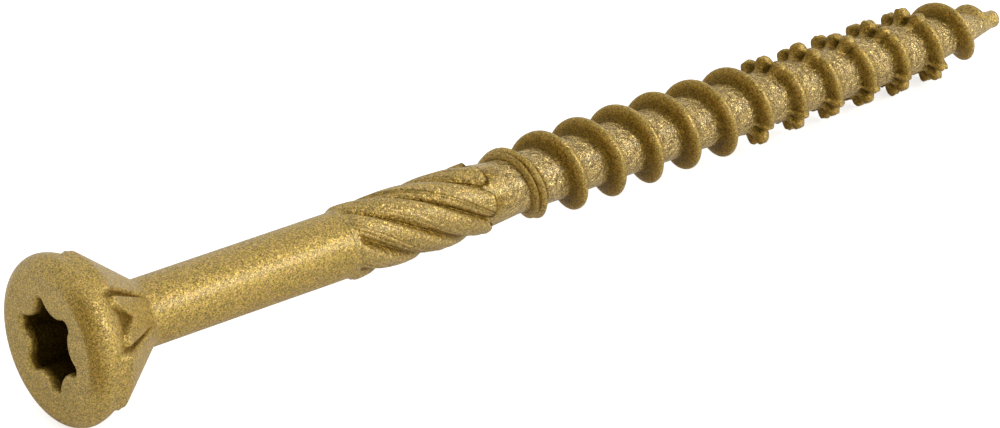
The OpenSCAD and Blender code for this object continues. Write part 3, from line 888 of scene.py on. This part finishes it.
def screw_skin(sizes):
    """The whole screw as one closed skin: rings to the neck, the helix grid, then rings. Its
    paint tells for each point how much shade is painted there and how hammered the metal is."""
    recess_depth, recess_radius, recess_hollow = recess_rows(sizes)
    face_depth, face_radius, face_hollow = face_rows(sizes, recess_radius[-1])
    rim_depth, rim_radius, rim_shade = rim_rows(sizes)
    under_depth, under_radius, under_hollow = underside_rows(sizes)
    head_depth = np.vstack([recess_depth, face_depth, rim_depth, under_depth])
    head_radius = np.vstack([recess_radius, face_radius, rim_radius, under_radius])
    head_angle = ring_angles(sizes, HEAD_COLUMNS) + 0 * head_depth
    head = in_row_frame(sizes, head_depth, head_angle, head_radius).reshape(-1, 3)

    shank_start = head_depth[-1, 0] + SEAT_STEP
    shank_depth, shank_radius, shank_hollow = shank_rows(sizes, shank_start)
    reamer_depth, reamer_angle, reamer_radius, reamer_hollow = reamer_rows(sizes)
    full_twist = -sizes.reamer_length * (2 * math.pi / sizes.reamer_lead)
    twist = full_twist * smooth((shank_depth - shank_depth[0, 0]) / TWIST_LENGTH)
    shank_angle = ring_angles(sizes, COLUMNS) + twist
    rows_depth = np.vstack([shank_depth, reamer_depth])
    rows_angle = np.vstack([shank_angle, reamer_angle])
    rows_radius = np.vstack([shank_radius, reamer_radius])
    rings = in_row_frame(sizes, rows_depth, rows_angle, rows_radius).reshape(-1, 3)

    floor_centre = in_row_frame(
        sizes, np.array([sizes.recess_depth + sizes.recess_cone]), np.zeros(1), np.zeros(1))
    turn_depth, turn_angle, turn_radius, turn_hollow, turn_hammered = thread_grid(sizes)
    grid = in_row_frame(sizes, turn_depth, turn_angle, turn_radius)
    total = column_total(sizes)
    last = total - COLUMNS
    turns = grid[:, :ROWS].reshape(-1, 3)
    tops = grid[last + 1:, ROWS]
    end_angle = sizes.thread_turn + last * (2 * math.pi / COLUMNS)
    blunt_depth, blunt_angle, blunt_radius = blunt_rows(sizes, end_angle)
    blunt = in_row_frame(sizes, blunt_depth, blunt_angle, blunt_radius).reshape(-1, 3)
    tip = in_row_frame(sizes, np.array([sizes.screw_length]), np.zeros(1), np.zeros(1))
    points = np.vstack([floor_centre, head, rings, turns, tops, blunt, tip])
    # Painted shade for each point; the recess floor's centre takes it in full
    painted_shade = np.concatenate([
        np.ones(1), recess_hollow.ravel(), face_hollow.ravel(), rim_shade.ravel(),
        under_hollow.ravel(), shank_hollow.ravel(), reamer_hollow.ravel(),
        turn_hollow[:, :ROWS].ravel(), turn_hollow[last + 1:, ROWS], np.zeros(len(blunt) + 1)])
    hammered = np.concatenate([
        np.full(1 + len(head), HAMMERED_HEAD), np.full(shank_depth.size, HAMMERED_SHANK),
        np.full(reamer_depth.size, HAMMERED_REAMER), turn_hammered[:, :ROWS].ravel(),
        turn_hammered[last + 1:, ROWS], np.full(len(blunt) + 1, HAMMERED_REAMER)])
    paint = {"painted_shade": painted_shade, "hammered": hammered}

    head_at = 1
    rings_at = head_at + len(head)
    turns_at = rings_at + len(rings)
    tops_at = turns_at + len(turns)
    blunt_at = tops_at + len(tops)
    tip_at = blunt_at + len(blunt)
    foot = turns_at - COLUMNS

    columns = np.arange(total + 1)
    row_index = np.empty((total + 1, ROWS + 1), dtype=np.int64)
    row_index[:, :ROWS] = turns_at + columns[:, None] * ROWS + np.arange(ROWS)
    row_index[:last + 1, ROWS] = turns_at + (columns[:last + 1] + COLUMNS) * ROWS
    row_index[last + 1:, ROWS] = tops_at + np.arange(COLUMNS)
    turn_quads = np.stack([
        row_index[:-1, :-1], row_index[1:, :-1], row_index[1:, 1:], row_index[:-1, 1:]],
        axis=-1).reshape(-1, 4)

    k = np.arange(COLUMNS - 1)
    foot_quads = np.stack([
        foot + k, foot + k + 1, row_index[k + 1, 0], row_index[k, 0]], axis=-1)
    foot_apex = row_index[COLUMNS - 1, 0]
    j = np.arange(ROWS)
    foot_fan = np.vstack([
        [[foot_apex, foot + COLUMNS - 1, foot], [foot_apex, foot, row_index[0, 0]]],
        np.stack([0 * j + foot_apex, row_index[0, j], row_index[0, j + 1]], axis=-1)])

    k = np.arange(1, COLUMNS)
    top_quads = np.stack([
        row_index[last + k, ROWS], row_index[last + k + 1, ROWS],
        blunt_at + (k + 1) % COLUMNS, blunt_at + k], axis=-1)
    top_apex = row_index[last + 1, ROWS]
    top_fan = np.vstack([
        np.stack([0 * j + top_apex, row_index[total, j + 1], row_index[total, j]], axis=-1),
        [[top_apex, blunt_at, row_index[total, ROWS]], [top_apex, blunt_at + 1, blunt_at]]])

    k = np.arange(HEAD_COLUMNS)
    k2 = (k + 1) % HEAD_COLUMNS
    floor_fan = np.stack([0 * k, head_at + k, head_at + k2], axis=-1)
    k = np.arange(COLUMNS)
    k2 = (k + 1) % COLUMNS
    ring_last = tip_at - COLUMNS
    tip_fan = np.stack([ring_last + k, ring_last + k2, 0 * k + tip_at], axis=-1)
    head_last = rings_at - HEAD_COLUMNS
    here = head_last + 2 * k
    between = here + 1
    after = head_last + 2 * k2
    halving = np.vstack([
        np.stack([here, between, rings_at + k], axis=-1),
        np.stack([between, after, rings_at + k2], axis=-1),
        np.stack([between, rings_at + k2, rings_at + k], axis=-1)])
    quads = np.vstack([
        ring_quads(head_at, len(head_depth), HEAD_COLUMNS),
        ring_quads(rings_at, len(rows_depth), COLUMNS), turn_quads, foot_quads, top_quads,
        ring_quads(blunt_at, len(blunt_depth), COLUMNS)])
    triangles = np.vstack([floor_fan, halving, foot_fan, top_fan, tip_fan])
    return points, quads, triangles, paint


# Finish

# Ranges: the driving value at the start and at the end, then the share at each
WARM_RANGE = (0.5, 1.0, 0.0, 1.0)
THICK_RANGE = (0.55, 0.95, 0.0, 0.65)
# Hammered places lighter: a lighter metal tone and a painted highlight
BRIGHT_RANGE = (0.25, 1.0, 0.0, 0.4)
# Painted shade: the flank colour, the darkest shade, and the gloss that the shade dulls
FLANK_SHADE_RANGE = (0.0, 0.6, 0.0, 0.82)
SHADE_RANGE = (0.6, 1.0, 0.0, 0.95)
GLOSS_RANGE = (0.0, 1.0, 0.38, 0.05)
POLISH_RANGE = (0.2, 1.0, 0.0, 0.22)

# Painted shade at which the clear coat is gone, and how far a flake's roughness departs either way
COAT_END = 0.8
ROUGH_BELOW = 0.07
ROUGH_ABOVE = 0.1

# Relief of the unevenness and of the dents
NOISE_DETAIL = 3.0
PEEL_STRENGTH = 0.5
HAMMER_DISTORTION = 0.6


def add_node(tree, kind, sockets, operation=None):
    """A node with its operation, and each named socket linked or given a plain value."""
    node = tree.nodes.new(kind)
    if operation:
        node.operation = operation
    for socket, value in sockets.items():
        if isinstance(value, bpy.types.NodeSocket):
            tree.links.new(value, node.inputs[socket])
        else:
            node.inputs[socket].default_value = value
    return node


def share_of(tree, value, low, high, to_low, to_high):
    """Straight line: to_low where the value is low or less, to_high where it is high or more."""
    sockets = {
        "Value": value, "From Min": low, "From Max": high, "To Min": to_low, "To Max": to_high}
    return add_node(tree, "ShaderNodeMapRange", sockets).outputs["Result"]


def mixed(tree, first, second, factor):
    """Colour between two: the first at factor 0 and the second at factor 1."""
    mix = tree.nodes.new("ShaderNodeMix")
    mix.data_type = "RGBA"
    for value, socket in ((first, mix.inputs["A"]), (second, mix.inputs["B"])):
        if isinstance(value, bpy.types.NodeSocket):
            tree.links.new(value, socket)
        else:
            socket.default_value = (*value, 1.0)
    tree.links.new(factor, mix.inputs["Factor"])
    return mix.outputs["Result"]


def painted(tree, layer):
    """Value of a layer that the skin carries at its points."""
    node = tree.nodes.new("ShaderNodeAttribute")
    node.attribute_name = layer
    return node.outputs["Fac"]


def coating_colour(tree, look, place, tint, painted_shade, hammered):
    """Bronze with warm and olive flakes, lighter where hammered (the metal's tone, partly a painted
    highlight), darker with painted shade in hollows, times the brightness of a grain.
    """
    colour = mixed(tree, look.bronze, look.rose, share_of(tree, tint["Red"], *WARM_RANGE))
    colour = mixed(tree, colour, look.olive, share_of(tree, tint["Green"], *THICK_RANGE))
    # Lighter where hammered: the metal's own tone, partly a painted highlight
    colour = mixed(tree, colour, look.bright, share_of(tree, hammered, *BRIGHT_RANGE))
    # Painted shade: the flank colour, then the darkest shade
    colour = mixed(tree, colour, look.flank, share_of(tree, painted_shade, *FLANK_SHADE_RANGE))
    colour = mixed(tree, colour, look.shade, share_of(tree, painted_shade, *SHADE_RANGE))
    grains = add_node(
        tree, "ShaderNodeTexVoronoi", {"Scale": 1.0 / look.grain_size, "Vector": place})
    grain = add_node(tree, "ShaderNodeSeparateColor", {"Color": grains.outputs["Color"]})
    contrast = look.grain_contrast
    bright = share_of(tree, grain.outputs["Red"], 0.0, 1.0, 1 - contrast, 1 + contrast)
    graded = add_node(tree, "ShaderNodeVectorMath", {0: colour, "Scale": bright}, "SCALE")
    return graded.outputs["Vector"]


def coating_normal(tree, look, place, flake, hammered):
    """Normal: unevenness, then the dents where the metal is hammered, then each flake's turn."""
    peel = add_node(tree, "ShaderNodeTexNoise", {
        "Scale": 1.0 / look.peel_size, "Detail": NOISE_DETAIL, "Vector": place})
    relief = add_node(tree, "ShaderNodeBump", {
        "Strength": PEEL_STRENGTH, "Distance": look.peel_height, "Height": peel.outputs["Fac"]})
    dents = add_node(tree, "ShaderNodeTexNoise", {
        "Scale": 1.0 / look.hammer_size, "Detail": NOISE_DETAIL,
        "Distortion": HAMMER_DISTORTION, "Vector": place})
    dent_height = add_node(
        tree, "ShaderNodeMath", {0: dents.outputs["Fac"], 1: hammered}, "MULTIPLY")
    hammering = add_node(tree, "ShaderNodeBump", {
        "Strength": 1.0, "Distance": look.hammer_height,
        "Height": dent_height.outputs["Value"], "Normal": relief.outputs["Normal"]})
    centred = add_node(
        tree, "ShaderNodeVectorMath", {0: flake, 1: (0.5, 0.5, 0.5)}, "SUBTRACT")
    amount = add_node(
        tree, "ShaderNodeVectorMath",
        {0: centred.outputs["Vector"], "Scale": look.flake_turn}, "SCALE")
    turned = add_node(
        tree, "ShaderNodeVectorMath",
        {0: hammering.outputs["Normal"], 1: amount.outputs["Vector"]}, "ADD")
    even = add_node(
        tree, "ShaderNodeVectorMath", {0: turned.outputs["Vector"]}, "NORMALIZE")
    return even.outputs["Vector"]


def coating_material(look):
    """Bronze flake coating: cells of slightly turned flakes over a satin metal."""
    material = bpy.data.materials.new("bronze_flake_coating")
    material.use_nodes = True
    tree = material.node_tree
    place = tree.nodes.new("ShaderNodeTexCoord").outputs["Object"]
    flakes = add_node(
        tree, "ShaderNodeTexVoronoi", {"Scale": 1.0 / look.flake_size, "Vector": place})
    flake = flakes.outputs["Color"]
    tint = add_node(tree, "ShaderNodeSeparateColor", {"Color": flake}).outputs
    hammered = painted(tree, "hammered")
    painted_shade = painted(tree, "painted_shade")

    rough = share_of(
        tree, tint["Blue"], 0.0, 1.0, look.roughness - ROUGH_BELOW, look.roughness + ROUGH_ABOVE)
    polish = share_of(tree, hammered, *POLISH_RANGE)
    satin = add_node(tree, "ShaderNodeMath", {0: rough, 1: polish}, "SUBTRACT")
    shader = tree.nodes["Principled BSDF"]
    shader.inputs["Metallic"].default_value = look.metal_share
    shader.inputs["Coat Roughness"].default_value = look.coat_roughness
    # The painted shade also dulls the gloss and takes the clear coat away, so shaded places stay
    # deep and saturated
    for socket, value in (
            ("Base Color", coating_colour(tree, look, place, tint, painted_shade, hammered)),
            ("Specular IOR Level", share_of(tree, painted_shade, *GLOSS_RANGE)),
            ("Coat Weight", share_of(tree, painted_shade, 0.0, COAT_END, look.coat, 0.0)),
            ("Roughness", satin.outputs["Value"]),
            ("Normal", coating_normal(tree, look, place, flake, hammered))):
        tree.links.new(value, shader.inputs[socket])
    return material


# Floor and world: the floor's glow for the camera, and the light's strength round the camera
FLOOR_ROUGHNESS = 0.9
FLOOR_GLOW = 0.7
ROOM_RANGE = (0.6, 0.95, 0.74, 0.15)
WHITE = (1.0, 1.0, 1.0, 1.0)


def floor_material(look):
    """Pale floor that reads as white to the camera and keeps the shadow."""
    material = bpy.data.materials.new("pale_floor")
    material.use_nodes = True
    tree = material.node_tree
    shader = tree.nodes["Principled BSDF"]
    shader.inputs["Base Color"].default_value = (*look.floor_colour, 1.0)
    shader.inputs["Roughness"].default_value = FLOOR_ROUGHNESS
    shader.inputs["Specular IOR Level"].default_value = 0.0
    shader.inputs["Emission Color"].default_value = WHITE
    ray = tree.nodes.new("ShaderNodeLightPath")
    glow = add_node(
        tree, "ShaderNodeMath", {0: ray.outputs["Is Camera Ray"], 1: FLOOR_GLOW}, "MULTIPLY")
    tree.links.new(glow.outputs["Value"], shader.inputs["Emission Strength"])
    return material


def studio_world(toward_camera):
    """Even soft light, darker round the camera, and white where the camera sees past the floor."""
    world = bpy.data.worlds.new("studio")
    bpy.context.scene.world = world
    world.use_nodes = True
    tree = world.node_tree
    place = tree.nodes.new("ShaderNodeTexCoord")
    facing = add_node(
        tree, "ShaderNodeVectorMath", {0: place.outputs["Generated"], 1: toward_camera},
        "DOT_PRODUCT")
    room = share_of(tree, facing.outputs["Value"], *ROOM_RANGE)
    ray = tree.nodes.new("ShaderNodeLightPath")
    strength = add_node(
        tree, "ShaderNodeMix", {"Factor": ray.outputs["Is Camera Ray"], "A": room, "B": 1.0})
    back = tree.nodes["Background"]
    back.inputs["Color"].default_value = WHITE
    tree.links.new(strength.outputs["Result"], back.inputs["Strength"])


# Lamps: name, direction from the aim, width and height, and power
LAMPS = (
    ("side_softbox", (0.49, -0.74, 0.46), (0.2, 0.2), 0.85),
    ("low_fill", (-0.72, -0.68, 0.1), (0.4, 0.15), 0.5))
LAMP_DISTANCE = 0.5

# Camera: width of its sensor in mm, and the range of distances that it shows
SENSOR_WIDTH = 36.0
CLIP_RANGE = (0.01, 20.0)


def soft_lamp(name, aim, direction, size, power):
    """A rectangular area lamp that faces the aim from a direction."""
    data = bpy.data.lights.new(name, "AREA")
    data.shape = "RECTANGLE"
    data.size, data.size_y = size
    data.energy = power
    lamp = bpy.data.objects.new(name, data)
    bpy.context.scene.collection.objects.link(lamp)
    toward = np.array(direction) / np.linalg.norm(direction)
    lamp.location = np.array(aim) + toward * LAMP_DISTANCE
    lamp.rotation_euler = Vector(-toward).to_track_quat("-Z", "Y").to_euler()


# Operators

class DECKSCREW_OT_screw(bpy.types.Operator):
    """Build the coated screw as one closed skin"""

    bl_idname = "deck_screw.screw"
    bl_label = "Screw"

    def execute(self, context):
        points, quads, triangles, paint = screw_skin(context.scene.screw_sizes)
        piece = mesh_object("coated_screw", points, quads, triangles, paint)
        piece.data.materials.append(coating_material(context.scene.coating_look))
        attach(piece, BODY)
        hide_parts(NODE)
        return {"FINISHED"}


class DECKSCREW_OT_stage(bpy.types.Operator):
    """Build the floor, the lamps and the camera"""

    bl_idname = "deck_screw.stage"
    bl_label = "Stage"

    def execute(self, context):
        look = context.scene.stage_look
        half = look.floor_size / 2
        level = cad_box[0][2]
        corners = np.array([
            [-half, -half, level], [half, -half, level], [half, half, level], [-half, half, level]])
        floor = mesh_object(
            "floor", corners, np.array([[0, 1, 2, 3]]), np.empty((0, 3), int), {})
        floor.data.materials.append(floor_material(look))
        for name, direction, size, power in LAMPS:
            soft_lamp(name, look.view_aim, direction, size, power)

        data = bpy.data.cameras.new("camera")
        data.lens = look.focal_length
        data.sensor_width = SENSOR_WIDTH
        data.clip_start, data.clip_end = CLIP_RANGE
        camera = bpy.data.objects.new("camera", data)
        context.scene.collection.objects.link(camera)
        flat = math.cos(look.view_fall)
        ahead = np.array([
            flat * math.cos(look.view_azimuth), flat * math.sin(look.view_azimuth),
            -math.sin(look.view_fall)])
        studio_world(-ahead)
        camera.location = np.array(look.view_aim) - ahead * look.view_distance
        level_view = Euler((math.pi / 2 - look.view_fall, 0.0, look.view_azimuth - math.pi / 2))
        rolled = level_view.to_matrix() @ Matrix.Rotation(look.view_roll, 3, "Z")
        camera.rotation_euler = rolled.to_euler()
        context.scene.camera = camera
        context.scene.view_settings.view_transform = "Standard"
        return {"FINISHED"}


class DECKSCREW_PT_panel(bpy.types.Panel):
    """Sidebar panel that lists the operators and the sizes"""

    bl_idname = "DECKSCREW_PT_panel"
    bl_label = "Deck screw"
    bl_space_type = "VIEW_3D"
    bl_region_type = "UI"
    bl_category = "Deck screw"

    def draw(self, context):
        for operator in OPERATORS:
            self.layout.operator(operator.bl_idname)
        for group in (context.scene.screw_sizes, context.scene.coating_look):
            for name in group.__annotations__:
                self.layout.prop(group, name)


OPERATORS = (DECKSCREW_OT_screw, DECKSCREW_OT_stage)
CLASSES = (ScrewSizes, CoatingLook, StageLook, *OPERATORS, DECKSCREW_PT_panel)


def register():
    for cls in CLASSES:
        bpy.utils.register_class(cls)
    bpy.types.Scene.screw_sizes = bpy.props.PointerProperty(type=ScrewSizes)
    bpy.types.Scene.coating_look = bpy.props.PointerProperty(type=CoatingLook)
    bpy.types.Scene.stage_look = bpy.props.PointerProperty(type=StageLook)


def unregister():
    del bpy.types.Scene.stage_look
    del bpy.types.Scene.coating_look
    del bpy.types.Scene.screw_sizes
    for cls in reversed(CLASSES):
        bpy.utils.unregister_class(cls)


def main():
    """Register the classes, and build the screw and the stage."""
    register()
    bpy.ops.deck_screw.screw()
    bpy.ops.deck_screw.stage()


if __name__ == "__main__":
    main()
